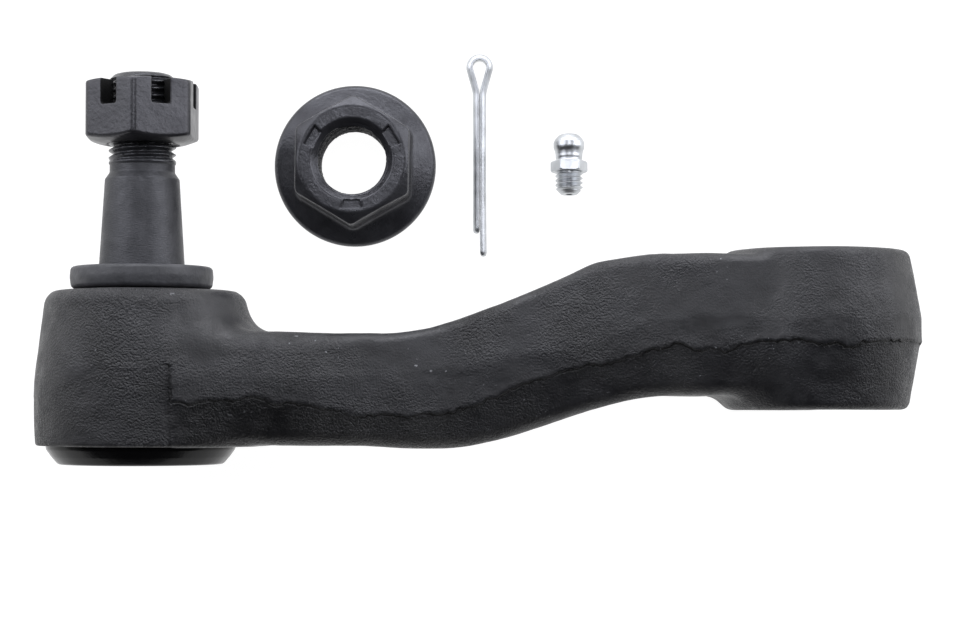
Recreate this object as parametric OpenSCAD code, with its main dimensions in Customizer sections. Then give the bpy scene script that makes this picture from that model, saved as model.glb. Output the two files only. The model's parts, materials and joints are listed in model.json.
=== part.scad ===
// Steering arm with a ball stud: a drop-forged arm whose round housing holds a spring-loaded ball
// joint and whose boss is bored and serrated for a pivot shaft. It lies on its side on a table, with
// its flange nut, cotter pin and grease fitting loose beside it. Units are millimetres.
//
// Row frame: the origin is the middle of the serrated bore. +X runs from the ball stud to the boss,
// +Y runs along the bore and the stud (towards the stud's thread), and +Z is up from the table.
// The arm's own modules are drawn upright, with the stud along +Z, and laid() turns them over.

/* [Arm] */
// Distance between the stud's axis and the bore's axis
arm_len = 140; // [137:0.5:143]
// How far the ball's centre lies below the middle of the bore, along the stud
ball_drop = 9.3; // [9:0.1:9.6]
// Half width of the arm at its waist, measured at the forging's parting line
waist_half_w = 12.2; // [11:0.1:13]
// Draft of the arm's sides, away from the parting line
arm_draft = 9; // [6:1:10]
// Radius of the arm's long edges
edge_r = 4; // [3:0.5:4.5]

/* [Housing] */
// Housing radius at the parting line
housing_r = 22.8; // [22.5:0.1:23.2]
// Housing radius just under its rounded top
housing_top_r = 20.6; // [20.3:0.1:20.9]
// Top of the housing above the ball's centre
housing_top = 17.6; // [17.4:0.1:17.8]
// Bottom of the housing below the ball's centre, where the rolled lip starts
housing_bottom = 14.7; // [14.5:0.1:14.9]
// Bore that holds the bearings
socket_r = 16.8; // [16.6:0.1:17]
// How far the rolled lip reaches below the housing
lip_h = 3.6; // [3.5:0.1:3.8]

/* [Ball joint] */
// Outside radius of the half ball bearing
half_ball_r = 12.9; // [12.8:0.1:13.1]
// Radius of the stud's round head, under the half ball
head_r = 12.6; // [12.4:0.1:12.6]
// Running gap between a ball and its seat
ball_gap = 0.1; // [0.08:0.01:0.15]
// Largest tilt of the stud each way
tilt_max = 10; // [6:1:10]

/* [Stud] */
// Large end of the 1:8 taper, at the top of the dust seal
taper_big_r = 8.85; // [8.7:0.05:8.9]
// Length of the taper above the dust seal
taper_len = 18.2; // [17:0.1:18.6]
// Outside radius of the M14 thread
thread_r = 7; // [6.9:0.05:7]
// Pitch of the thread
thread_pitch = 1.5; // [1.5:0.5:2]
// Radius of the cross hole for the cotter pin
cross_hole_r = 1.6; // [1.5:0.1:1.8]

/* [Castle nut] */
// Width across the flats
castle_af = 21.8; // [21.4:0.1:22.2]
// Overall height
castle_h = 13.1; // [12.7:0.1:13.5]
// Depth of the slots
slot_depth = 5.4; // [4.8:0.1:5.6]
// Width of the slots
slot_w = 4; // [3.4:0.1:4.2]

/* [Boss] */
// Boss radius at the parting line
boss_r = 21.6; // [21.3:0.1:21.9]
// Height of the boss
boss_h = 33.2; // [32.6:0.1:34]
// Bore radius at the tips of the serrations
bore_r = 10.2; // [9.8:0.1:10.6]
// Depth of the serrations
serration_depth = 0.9; // [0.6:0.1:1.1]
// Number of serrations
serrations = 36; // [24:6:36]
// Length of the plain bore below the serrations
plain_bore_len = 5.5; // [4:0.5:7]

/* [Flange nut] */
// Width across the flats
flange_af = 24; // [23.6:0.1:24]
// Radius of the flange
flange_r = 17.5; // [17:0.1:18]
// Overall height
flange_nut_h = 16.2; // [15:0.1:17]
// Bore radius, the minor radius of an M16 thread
flange_bore_r = 7.2; // [7.1:0.1:7.3]

/* [Cotter pin] */
// Diameter of the two legs together
pin_d = 2.8; // [2.7:0.1:2.9]
// Length of the long leg under the eye
pin_long = 36; // [34:0.5:38]
// Length of the short leg under the eye
pin_short = 31; // [28:0.5:33]
// Outside width of the eye
eye_w = 5.8; // [5.6:0.1:6.2]

/* [Grease fitting] */
// Overall length
fitting_len = 13.1; // [12.8:0.1:13.4]
// Radius of the coupler head
fitting_head_r = 3.3; // [3.25:0.05:3.35]
// Width across the flats of its hexagon
fitting_af = 7; // [6.8:0.1:7.2]
// Outside radius of its M6 thread
fitting_thread_r = 2.95; // [2.85:0.05:3]

/* [Hidden] */
$fn = 96;

table_z = -housing_r;               // the table, which the lying housing touches
boss_half = boss_h / 2;
parting_v = -3.7;                   // the housing's parting line, from the ball's centre
seal_bottom = housing_top + 0.5;
seal_top = 22.4;
seal_r = 14.8;
land_r = 14.4;                      // machined land under the seal
land_top = housing_top + 0.4;
shoulder_v = 11.8;                  // where the socket bore ends under the housing's top wall
opening_low_r = 10.9;                 // the opening that the stud swings in
opening_high_r = 12.6;
lip_bottom = -housing_bottom - lip_h;
plate_under = lip_bottom + 0.8;     // underside of the cover plate, held by the rolled lip
plate_t = 2;
lip_open_r = 14.7;
spring_t = 1.1;
cup_bottom = -13.6;
cup_top = -2.7;                     // clear of the half ball's rim when it tilts
neck_r = 8.2;
taper_top = seal_top + taper_len;
taper_small_r = taper_big_r - taper_len / 16;
thread_start = 43.6;
stud_end = 62.9;
castle_bottom = 47.8;
castle_turn = -2;                   // the nut as it was left, a slot lined up with the cross hole
castle_bore_r = thread_r + 0.06;
cross_hole_turn = castle_turn - 30; // the cross hole's direction, from upright -Y towards +X
cross_hole_v = castle_bottom + castle_h - slot_depth / 2;
thread_depth = 0.61 * thread_pitch;
fitting_tilt = 5;                   // it lies with its head down on the table
flange_nut_at = [-96.9, 36.3];
cotter_pin_at = [-69.9, 52.6];      // where the legs meet under the eye
fitting_at = [-50.6, 36.4];         // the middle of its length

// Smooth step from 0 before a to 1 after b.
function step(x, a, b) = let (t = min(1, max(0, (x - a) / (b - a)))) t * t * (3 - 2 * t);

// Points of an arc in a plane, from angle a0 to a1.
function arc(centre, r, a0, a1, n = 6) =
    [for (i = [0:n]) centre + r * [cos(a0 + (a1 - a0) * i / n), sin(a0 + (a1 - a0) * i / n)]];

// Half profile of a row of V threads between heights v0 and v1, going up.
function thread_points(crest, root, pitch, v0, v1) =
    let (turns = floor((v1 - v0) / pitch))
    [for (i = [0:turns - 1]) each [
        [root, v0 + i * pitch],
        [crest, v0 + (i + 0.42) * pitch],
        [crest, v0 + (i + 0.58) * pitch],
        [root, v0 + (i + 1) * pitch]
    ]];

// Turns an upright part over on its side, with its +Z along the row's +Y.
module laid() {
    rotate([-90, 0, 0]) children();
}

// Places a part of the ball joint, drawn upright about the ball's centre.
module at_ball() {
    laid() translate([-arm_len, 0, -ball_drop]) children();
}

// Places a loose part, drawn upright on its base, on the table.
module on_table(at) {
    translate([at[0], at[1], table_z]) children();
}

// ---- the forging ----

// Heights of the arm's top, bottom and parting line along its length, in the upright frame.
function arm_top(x) = -0.5 + 15.9 * step(x, -89, -32);
function arm_bottom(x) = -23.8 + 10.3 * step(x, -82, -31);
function arm_parting(x) = -17.5 + 14 * step(x, -82, -30) + 3 * step(-x, 98, 118);
// Half width of the arm: it leaves the housing wide, narrows to its waist and widens to the boss.
function arm_half_w(x) = waist_half_w + 7 * step(-x, 76, 127) + 5.8 * step(x, -56, -16);

// One cross section of the arm at x: rounded top and bottom edges, sides drafted from the parting line.
function arm_section(x) =
    let (
        t = arm_top(x), b = arm_bottom(x), f = arm_parting(x), w = arm_half_w(x),
        wt = w - (t - f) * tan(arm_draft), wb = w - (f - b) * tan(arm_draft),
        right = concat(
            arc([wb - edge_r, b + edge_r], edge_r, -90, -arm_draft, 3),
            [[w, f]],
            arc([wt - edge_r, t - edge_r], edge_r, arm_draft, 90, 3)
        ),
        n = len(right)
    )
    [for (p = right) [x, p[0], p[1]], for (i = [n - 1:-1:0]) [x, -right[i][0], right[i][1]]];

module arm_beam() {
    x0 = -arm_len + 13;
    x1 = -7;
    stations = 26;
    rings = [for (i = [0:stations]) arm_section(x0 + (x1 - x0) * i / stations)];
    n = len(rings[0]);
    sides = [for (s = [0:stations - 1], i = [0:n - 1])
        let (j = (i + 1) % n) each [
            [s * n + i, (s + 1) * n + i, s * n + j],
            [s * n + j, (s + 1) * n + i, (s + 1) * n + j]
        ]];
    ends = [[for (i = [0:n - 1]) i], [for (i = [n - 1:-1:0]) stations * n + i]];
    polyhedron([for (r = rings) each r], concat(sides, ends));
}

module housing_blank() {
    top_edge = 3;
    rotate_extrude() polygon(concat(
        [
            [0, lip_bottom], [17.2, lip_bottom], [18.1, lip_bottom + 1.1], [19.3, lip_bottom + 2.8],
            [19.5, -housing_bottom], [housing_r - 0.6, -housing_bottom], [housing_r, parting_v]
        ],
        arc([housing_top_r - top_edge, housing_top - top_edge], top_edge, 5, 90),
        [[land_r, housing_top], [land_r, land_top], [0, land_top]]
    ));
}

module socket_cavity() {
    translate([0, 0, lip_bottom - 1]) cylinder(r = lip_open_r, h = 2);
    translate([0, 0, plate_under]) cylinder(r = socket_r, h = shoulder_v - plate_under);
    translate([0, 0, shoulder_v - 0.01])
        cylinder(r1 = opening_low_r, r2 = opening_high_r, h = land_top - shoulder_v + 0.02);
}

module boss_blank() {
    edge = 1.6;
    end_r = 19.1;
    rotate_extrude() polygon(concat(
        [[0, -boss_half]],
        arc([end_r - edge, -boss_half + edge], edge, -90, -10),
        [[boss_r, -1]],
        arc([end_r - edge, boss_half - edge], edge, 10, 90),
        [[0, boss_half]]
    ));
}

// The cutter of the serrated bore: a plain bore right through, with V grooves above a plain length.
module serrated_bore() {
    groove_half = 90 / serrations;
    root_half = 0.8;
    translate([0, 0, -boss_half - 1]) cylinder(r = bore_r, h = boss_h + 2);
    translate([0, 0, -boss_half + plain_bore_len])
        linear_extrude(height = boss_h)
            polygon([for (i = [0:serrations - 1])
                let (a = (i + 0.5) * 360 / serrations) each [
                    (bore_r - 0.1) * [cos(a - groove_half), sin(a - groove_half)],
                    (bore_r + serration_depth) * [cos(a - root_half), sin(a - root_half)],
                    (bore_r + serration_depth) * [cos(a + root_half), sin(a + root_half)],
                    (bore_r - 0.1) * [cos(a + groove_half), sin(a + groove_half)]
                ]]);
    for (side = [0, 1]) mirror([0, 0, side])
        translate([0, 0, boss_half - 1.4]) cylinder(r1 = bore_r, r2 = bore_r + 1.7, h = 1.7);
}

module arm_forging() {
    color([0.12, 0.12, 0.13]) laid() difference() {
        union() {
            arm_beam();
            translate([-arm_len, 0, -ball_drop]) housing_blank();
            boss_blank();
        }
        translate([-arm_len, 0, -ball_drop]) socket_cavity();
        serrated_bore();
    }
}

// ---- the ball joint ----

// Stamped plate at the bottom of the housing, thicker at its tapped centre.
module cover_plate() {
    tap_r = 2.5;
    hub_r = 5.3;
    color([0.1, 0.1, 0.11]) at_ball() difference() {
        union() {
            translate([0, 0, plate_under]) cylinder(r = socket_r, h = plate_t);
            translate([0, 0, plate_under - 0.5]) cylinder(r1 = hub_r, r2 = hub_r + 1, h = 0.6);
            translate([0, 0, plate_under]) cylinder(r = hub_r, h = plate_t + 1.3);
        }
        translate([0, 0, plate_under - 2]) cylinder(r = tap_r, h = plate_t + 6);
    }
}

module preload_spring() {
    low = plate_under + plate_t;
    color([0.45, 0.46, 0.48]) at_ball() rotate_extrude() polygon([
        [6.4, cup_bottom - spring_t], [15, low], [15, low + spring_t], [6.4, cup_bottom]
    ]);
}

module lower_bearing_cup() {
    color([0.55, 0.5, 0.42]) at_ball() difference() {
        translate([0, 0, cup_bottom]) cylinder(r = socket_r, h = cup_top - cup_bottom);
        sphere(r = head_r + ball_gap);
        translate([0, 0, cup_bottom - 1]) cylinder(r = 3.6, h = 5);
    }
}

module upper_bearing_race() {
    seat_r = half_ball_r + ball_gap;
    color([0.55, 0.5, 0.42]) at_ball() difference() {
        translate([0, 0, -1.4]) cylinder(r = socket_r - 0.05, h = shoulder_v + 1.3);
        sphere(r = seat_r);
        translate([0, 0, 7.2]) cylinder(r1 = 10.8, r2 = 11.2, h = 6);
    }
}

// Upper half of the ball, with a tapered hole in which the stud turns.
module half_ball_bearing() {
    color([0.6, 0.55, 0.45]) at_ball() difference() {
        sphere(r = half_ball_r);
        translate([0, 0, -20]) cylinder(r = 20, h = 20.1);
        translate([0, 0, 8.6]) cylinder(r = 20, h = 10);
        translate([0, 0, -0.1]) cylinder(r1 = 11, r2 = 8.3, h = 8.9);
    }
}

// Low rubber ring that closes the gap between the housing's top and the stud.
module dust_seal() {
    e = 1.6;
    color([0.13, 0.13, 0.13]) at_ball() rotate_extrude() polygon(concat(
        [[9.35, seal_bottom]],
        arc([seal_r - e, seal_bottom + e], e, -90, 0),
        arc([seal_r - e, seal_top - e], e, 0, 90),
        [[9, seal_top]]
    ));
}

module ball_stud() {
    shoulder = -0.1;
    color([0.2, 0.2, 0.21]) at_ball() difference() {
        union() {
            intersection() {
                sphere(r = head_r);
                translate([0, 0, -10.9]) cylinder(r = 11.8, h = 10.9 + shoulder);
            }
            rotate_extrude() polygon(concat(
                [
                    [0, shoulder - 1], [10.85, shoulder - 1], [10.85, shoulder], [neck_r, 8.6],
                    [neck_r, 15.4], [taper_big_r + 0.25, seal_top - 4.3],
                    [taper_big_r, seal_top], [taper_small_r, taper_top], [6.8, taper_top + 1.3],
                    [6.8, thread_start]
                ],
                thread_points(thread_r, thread_r - thread_depth, thread_pitch, thread_start, 61.7),
                [[6.2, 61.7], [5.2, 62.4], [3, stud_end], [0, stud_end]]
            ));
        }
        rotate([0, 0, cross_hole_turn]) translate([0, 0, cross_hole_v]) rotate([90, 0, 0])
            cylinder(r = cross_hole_r, h = 30, center = true);
    }
}

// ---- the fasteners ----

// Radius of a hexagon's corners from its width across the flats.
function corner_r(af) = af / sqrt(3);

module castle_nut() {
    cr = corner_r(castle_af);
    af_r = castle_af / 2;
    color([0.16, 0.16, 0.17]) at_ball() translate([0, 0, castle_bottom]) difference() {
        intersection() {
            rotate([0, 0, 30 + castle_turn]) cylinder(r = cr, h = castle_h, $fn = 6);
            rotate_extrude() polygon([
                [0, 0], [8.7, 0], [cr + 0.1, 1.6], [cr + 0.1, castle_h - 0.8],
                [af_r + 0.2, castle_h], [0, castle_h]
            ]);
        }
        translate([0, 0, -1]) cylinder(r = castle_bore_r, h = castle_h + 2);
        translate([0, 0, -0.01]) cylinder(r1 = castle_bore_r + 0.6, r2 = castle_bore_r, h = 0.6);
        for (a = [0, 60, 120]) rotate([0, 0, a + castle_turn])
            translate([-20, -slot_w / 2, castle_h - slot_depth]) cube([40, slot_w, slot_depth + 1]);
    }
}

// Prevailing torque nut: its top is staked inwards at three places to grip the thread.
module flange_lock_nut() {
    cr = corner_r(flange_af);
    color([0.14, 0.14, 0.15]) on_table(flange_nut_at) difference() {
        union() {
            rotate_extrude() polygon([
                [0, 0], [flange_r - 0.4, 0], [flange_r, 0.5], [flange_r, 1.6], [flange_r - 0.4, 2.1],
                [12.2, 4.5], [0, 4.5]
            ]);
            intersection() {
                rotate([0, 0, 29]) cylinder(r = cr, h = flange_nut_h, $fn = 6);
                rotate_extrude() polygon([
                    [0, 0], [cr + 1, 0], [cr + 1, flange_nut_h - 2], [11.3, flange_nut_h], [0, flange_nut_h]
                ]);
            }
        }
        translate([0, 0, -1]) cylinder(r = flange_bore_r, h = flange_nut_h + 2);
        translate([0, 0, flange_nut_h - 1.3])
            cylinder(r1 = flange_bore_r, r2 = flange_bore_r + 1.5, h = 1.31);
        translate([0, 0, -0.01]) cylinder(r1 = flange_bore_r + 1.2, r2 = flange_bore_r, h = 1.2);
        for (a = [30, 150, 270]) rotate([0, 0, a])
            translate([9.3, 0, flange_nut_h + 0.5]) cube([2.4, 3, 2.4], center = true);
    }
}

// The pin's wire follows one line in its plane: up the long leg, round the eye, down the short leg.
function pin_line() =
    let (
        leg = pin_d / 4 + 0.05, eye_r = (eye_w - pin_d / 2) / 2, eye_y = 5.1,
        rise = asin((eye_r - leg) / eye_y) / 2
    )
    concat(
        [[leg, -pin_long], [leg, -pin_long / 2], [leg, -1], [leg + 0.1, 0.1]],
        arc([0, eye_y], eye_r, -rise - 12, 180 + rise + 12, 18),
        [[-leg - 0.1, 0.1], [-leg, -1], [-leg, -pin_short / 2], [-leg, -pin_short]]
    );

// Half round section: flat on the side that faces the other leg, round outside.
function pin_section() =
    [for (a = [-90:22.5:90]) [pin_d / 2 * cos(a) - pin_d / 4, pin_d / 2 * sin(a)]];

module cotter_pin() {
    line = pin_line();
    last = len(line) - 1;
    section = pin_section();
    n = len(section);
    rings = [for (i = [0:last])
        let (
            ahead = line[min(last, i + 1)] - line[max(0, i - 1)],
            dir = ahead / norm(ahead), out = [dir[1], -dir[0]]
        )
        [for (p = section) [line[i][0] + out[0] * p[0], line[i][1] + out[1] * p[0], p[1]]]];
    sides = [for (s = [0:last - 1], i = [0:n - 1])
        let (j = (i + 1) % n) each [
            [s * n + i, s * n + j, (s + 1) * n + i],
            [s * n + j, (s + 1) * n + j, (s + 1) * n + i]
        ]];
    ends = [[for (i = [n - 1:-1:0]) i], [for (i = [0:n - 1]) last * n + i]];
    color([0.75, 0.76, 0.78]) on_table(cotter_pin_at) translate([0, 0, pin_d / 2])
        polyhedron([for (r = rings) each r], concat(sides, ends));
}

// ---- the grease fitting ----

seat_v = fitting_len - 1.45;        // where the channel starts to close in on the check ball
ball_v = seat_v + 0.2;              // the check ball's centre, from the thread's end
check_ball_r = 1.2;
channel_r = 1.4;
mouth_r = 0.95;
spring_foot = 1.2;

// Lays the fitting on the table, resting on its hexagon, with its head down.
module fitting_laid() {
    rest_h = fitting_af / 2 + 0.05;
    on_table(fitting_at) translate([0, 0, rest_h]) rotate([-90 - fitting_tilt, 0, 0])
        translate([0, 0, -fitting_len / 2]) children();
}

module grease_fitting_body() {
    hex_low = 4.9;
    hex_high = 7.2;
    cr = corner_r(fitting_af);
    color([0.72, 0.74, 0.75]) fitting_laid() difference() {
        union() {
            rotate_extrude() polygon(concat(
                [[0, 0], [2, 0], [2.45, 0.5]],
                thread_points(fitting_thread_r, fitting_thread_r - 0.5, 1, 0.5, 4.5),
                [
                    [2.5, hex_low], [2.9, hex_low], [2.9, hex_high], [2.75, hex_high + 0.2], [2.75, 8.7],
                    [3.1, 9.3], [fitting_head_r, 9.7], [fitting_head_r, 10.5], [3.1, 11.1],
                    [2.1, 12.8], [1.8, fitting_len], [0, fitting_len]
                ]
            ));
            intersection() {
                translate([0, 0, hex_low]) cylinder(r = cr, h = hex_high - hex_low, $fn = 6);
                rotate_extrude() polygon([
                    [0, hex_low], [3.1, hex_low], [cr, hex_low + 0.6], [cr, hex_high - 0.6],
                    [3.1, hex_high], [0, hex_high]
                ]);
            }
        }
        translate([0, 0, spring_foot]) cylinder(r = channel_r, h = seat_v - spring_foot, $fn = 48);
        translate([0, 0, seat_v - 0.01])
            cylinder(r1 = channel_r, r2 = mouth_r, h = fitting_len - seat_v + 0.02, $fn = 48);
        translate([0, 0, -1]) cylinder(r = 0.75, h = 3, $fn = 48);
    }
}

module check_ball() {
    color([0.8, 0.81, 0.82]) fitting_laid()
        translate([0, 0, ball_v]) sphere(r = check_ball_r, $fn = 48);
}

// Coil spring behind the check ball, its turns worked out along a helix.
module check_spring() {
    wire_r = 0.2;
    coil_r = 0.95;
    turns = 7;
    per_turn = 12;
    sides = 6;
    top = ball_v - check_ball_r - 0.05 - wire_r;
    foot = spring_foot + wire_r + 0.05;
    count = turns * per_turn;
    rings = [for (s = [0:count])
        let (a = s * 360 / per_turn, z = foot + (top - foot) * s / count)
        [for (i = [0:sides - 1])
            let (r = coil_r + wire_r * cos(i * 360 / sides))
            [r * cos(a), r * sin(a), z + wire_r * sin(i * 360 / sides)]]];
    faces = [for (s = [0:count - 1], i = [0:sides - 1])
        let (j = (i + 1) % sides) each [
            [s * sides + i, s * sides + j, (s + 1) * sides + i],
            [s * sides + j, (s + 1) * sides + j, (s + 1) * sides + i]
        ]];
    ends = [[for (i = [sides - 1:-1:0]) i], [for (i = [0:sides - 1]) count * sides + i]];
    color([0.7, 0.71, 0.72]) fitting_laid()
        polyhedron([for (r = rings) each r], concat(faces, ends));
}

arm_forging();
cover_plate();
preload_spring();
lower_bearing_cup();
upper_bearing_race();
half_ball_bearing();
dust_seal();
ball_stud();
castle_nut();
flange_lock_nut();
cotter_pin();
grease_fitting_body();
check_ball();
check_spring();
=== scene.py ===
"""Steering arm with a ball stud, and its flange nut, cotter pin and grease fitting loose beside it.

The pieces are drawn in millimetres and turned into metres as they become meshes. Round pieces are
drawn upright, with their axis along +Z and their foot at 0, and a matrix lays each one in its place.
"""
import itertools
import json
import math

import bpy
import numpy as np
from mathutils import Matrix, Vector


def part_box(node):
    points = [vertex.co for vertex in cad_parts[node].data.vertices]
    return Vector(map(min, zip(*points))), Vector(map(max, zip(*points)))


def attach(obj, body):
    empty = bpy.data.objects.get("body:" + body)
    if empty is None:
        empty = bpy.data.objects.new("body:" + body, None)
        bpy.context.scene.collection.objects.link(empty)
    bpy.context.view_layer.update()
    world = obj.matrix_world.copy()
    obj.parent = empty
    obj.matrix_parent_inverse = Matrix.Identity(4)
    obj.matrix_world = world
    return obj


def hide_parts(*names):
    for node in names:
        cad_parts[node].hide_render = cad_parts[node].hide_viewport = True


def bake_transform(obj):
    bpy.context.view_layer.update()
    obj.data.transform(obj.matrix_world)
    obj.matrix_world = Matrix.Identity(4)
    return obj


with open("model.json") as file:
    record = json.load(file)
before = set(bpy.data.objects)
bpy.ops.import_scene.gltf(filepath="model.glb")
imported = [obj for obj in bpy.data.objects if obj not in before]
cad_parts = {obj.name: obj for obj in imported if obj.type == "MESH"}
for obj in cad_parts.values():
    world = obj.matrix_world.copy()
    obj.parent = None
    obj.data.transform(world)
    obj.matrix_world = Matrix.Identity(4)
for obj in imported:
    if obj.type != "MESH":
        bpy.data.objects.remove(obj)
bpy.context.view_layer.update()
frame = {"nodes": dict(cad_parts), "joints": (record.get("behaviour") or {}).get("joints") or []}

MM = 0.001
DRAWN = np.random.default_rng(7)

# ---- places, from the frame ----


def box_mm(node):
    """A CAD node's lowest and highest corners in millimetres."""
    low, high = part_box(node)
    return np.array(low) / MM, np.array(high) / MM


def joint_point_mm(name):
    """The point that a joint turns about, in millimetres."""
    joint = next(j for j in frame["joints"] if j["name"] == name)
    return np.array(joint["pos_m"]) / MM


BALL = joint_point_mm("ball_tilt")
TABLE = box_mm("arm_forging")[0][2]
BOSS_HALF = box_mm("arm_forging")[1][1]
UPRIGHT_TO_LYING = Matrix.Rotation(math.radians(-90), 4, "X")
AT_BALL = Matrix.Translation(BALL) @ UPRIGHT_TO_LYING
AT_BORE = UPRIGHT_TO_LYING

nut_low, nut_high = box_mm("flange_lock_nut")
AT_FLANGE_NUT = Matrix.Translation(((nut_low[0] + nut_high[0]) / 2, (nut_low[1] + nut_high[1]) / 2, TABLE))

pin_low, pin_high = box_mm("cotter_pin")
PIN_D = pin_high[2] - pin_low[2]
AT_PIN = Matrix.Translation(((pin_low[0] + pin_high[0]) / 2, pin_high[1], TABLE + PIN_D / 2))

FITTING_LEN = 13.1
FITTING_AF = 7.0
FITTING_TILT = 5
fitting_low, fitting_high = box_mm("grease_fitting_body")
AT_FITTING = (
    Matrix.Translation((
        (fitting_low[0] + fitting_high[0]) / 2,
        (fitting_low[1] + fitting_high[1]) / 2,
        TABLE + FITTING_AF / 2 + 0.05,
    ))
    @ Matrix.Rotation(math.radians(-90 - FITTING_TILT), 4, "X")
    @ Matrix.Translation((0, 0, -FITTING_LEN / 2))
)

# ---- shared sizes, in millimetres ----

HOUSING_TOP = 17.6
HOUSING_BOTTOM = 14.7
LIP_BOTTOM = HOUSING_BOTTOM + 3.6
SOCKET_R = 16.8
BORE_R = 10.2
SERRATIONS = 36
SERRATION_DEPTH = 0.9
PLAIN_BORE = 5.5
THREAD_R = 7.0
THREAD_PITCH = 1.5
SEAL_BOTTOM = 18.1
SEAL_TOP = 22.4
TAPER_BIG_R = 8.85
TAPER_TOP = 40.6
STUD_END = 62.9
CASTLE_BOTTOM = 47.8
CASTLE_TURN = -2
CASTLE_AF = 21.8
CASTLE_H = 13.1
SLOT_W = 4.0
SLOT_DEPTH = 5.4
CROSS_HOLE_R = 1.6
CROSS_HOLE_TURN = CASTLE_TURN - 30
FLANGE_AF = 24.0
FLANGE_R = 17.5
FLANGE_NUT_H = 16.2
FLANGE_BORE_R = 7.2
STAKE_R = 9.4
STAKE_LEN = 1.9
STAKE_DEPTH = 0.55

# ---- small maths ----


def ease(x, start, end):
    """A smooth step from 0 at start to 1 at end."""
    t = np.clip((x - start) / (end - start), 0, 1)
    return t * t * (3 - 2 * t)


def lattice_noise(points, cell, seed):
    """Smooth noise from -1 to 1 at the points, on a lattice of this cell."""
    scaled = points / cell
    base = np.floor(scaled).astype(np.int64)
    part = scaled - base
    part = part * part * (3 - 2 * part)
    total = np.zeros(len(points))
    for corner in itertools.product((0, 1), repeat=3):
        at = base + np.array(corner)
        mixed = (at[:, 0] * 73856093) ^ (at[:, 1] * 19349663) ^ (at[:, 2] * 83492791) ^ (seed * 2654435761)
        mixed = (mixed ^ (mixed >> 13)) * 1274126177
        mixed = (mixed ^ (mixed >> 16)) & 0xFFFF
        weight = np.prod(np.where(np.array(corner) == 1, part, 1 - part), axis=1)
        total += weight * (mixed / 32767.5 - 1)
    return total


def bent(x, softness):
    """0 below 0 and x above it, with a bend about this wide instead of a corner."""
    return (x + np.hypot(x, softness)) / 2


def layered_noise(points, cell, seed, layers=3):
    """Several layers of noise, each half the size and half the height of the one before."""
    total = np.zeros(len(points))
    for layer in range(layers):
        total += lattice_noise(points, cell / 2**layer, seed + layer) / 2**layer
    return total


def smooth_union(a, b, width):
    """The distance to either of two solids, with a fillet about this wide where they meet."""
    near = np.maximum(width - np.abs(a - b), 0) / width
    return np.minimum(a, b) - near * near * width / 4


def rounded_cut(a, b, radius):
    """The distance to what two solids share, its edge rounded to this radius."""
    past = np.hypot(np.maximum(a + radius, 0), np.maximum(b + radius, 0))
    return np.minimum(np.maximum(a, b), -radius) + past


def hexagon(x, y, across_flats, turn, rounding):
    """The distance to a hexagonal bar with softly rounded corners, one flat facing the turned X axis."""
    sides = []
    for step in range(3):
        angle = math.radians(turn + 60 * step)
        sides.append(np.abs(x * math.cos(angle) + y * math.sin(angle)) - across_flats / 2)
    return rounded_cut(rounded_cut(sides[0], sides[1], rounding), sides[2], rounding)


def groove(x, y, height, pitch):
    """How deep a helical V thread is cut at a point: 0 on the crest and 1 at the root."""
    phase = height / pitch - np.arctan2(y, x) / (2 * math.pi)
    from_root = 2 * np.abs(phase - np.floor(phase) - 0.5)
    return np.clip((from_root - 0.12) / 0.76, 0, 1)


# ---- meshes ----


def mesh_from(name, points, faces, place):
    """A mesh from points in millimetres, laid in its place, in metres."""
    mesh = bpy.data.meshes.new(name)
    matrix = np.array(place)
    moved = np.asarray(points) @ matrix[:3, :3].T + matrix[:3, 3]
    mesh.from_pydata((moved * MM).tolist(), [], faces)
    mesh.validate()
    mesh.update()
    return mesh


def object_from(name, points, faces, place, sharp=35):
    """An object with smooth shading and sharp edges where faces meet at more than this angle."""
    mesh = mesh_from(name, points, faces, place)
    item = bpy.data.objects.new(name, mesh)
    bpy.context.scene.collection.objects.link(item)
    shade(item, sharp)
    return item


def shade(item, sharp):
    """Smooth shading, broken where faces meet at more than this many degrees."""
    item.data.shade_smooth()
    item.data.set_sharp_from_angle(angle=math.radians(sharp))


def cut(item, cutter, sharp=35):
    """Takes a cutter's volume out of an object, and removes the cutter."""
    modifier = item.modifiers.new("cut", "BOOLEAN")
    modifier.operation = "DIFFERENCE"
    modifier.solver = "MANIFOLD"
    modifier.object = cutter
    bpy.context.view_layer.update()
    result = bpy.data.meshes.new_from_object(item.evaluated_get(bpy.context.evaluated_depsgraph_get()))
    item.modifiers.clear()
    if len(result.polygons) < 10:
        raise RuntimeError(f"the cut left nothing of {item.name}")
    item.data = result
    bpy.data.objects.remove(cutter)
    shade(item, sharp)


def piece(item, body, nodes, material):
    """Says which body a piece rides on, which CAD nodes it stands for, and what it is made of."""
    item.data.materials.clear()
    item.data.materials.append(material)
    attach(item, body)
    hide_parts(*nodes)
    return item


def rounded(profile, steps=5):
    """A half profile whose corners, given as (radius, height, rounding), become arcs."""
    points = []
    for index, (radius, height, rounding) in enumerate(profile):
        here = Vector((radius, height))
        if rounding == 0:
            points.append(here)
            continue
        before = Vector(profile[index - 1][:2]) - here
        after = Vector(profile[(index + 1) % len(profile)][:2]) - here
        half = before.angle(after) / 2
        reach = min(rounding / math.tan(half), 0.49 * before.length, 0.49 * after.length)
        bend = reach * math.tan(half)
        centre = here + (before.normalized() + after.normalized()).normalized() * bend / math.sin(half)
        start = here + before.normalized() * reach - centre
        end = here + after.normalized() * reach - centre
        for step in range(steps + 1):
            mixed = start.lerp(end, step / steps)
            points.append(centre + mixed.normalized() * bend)
    return points


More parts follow.
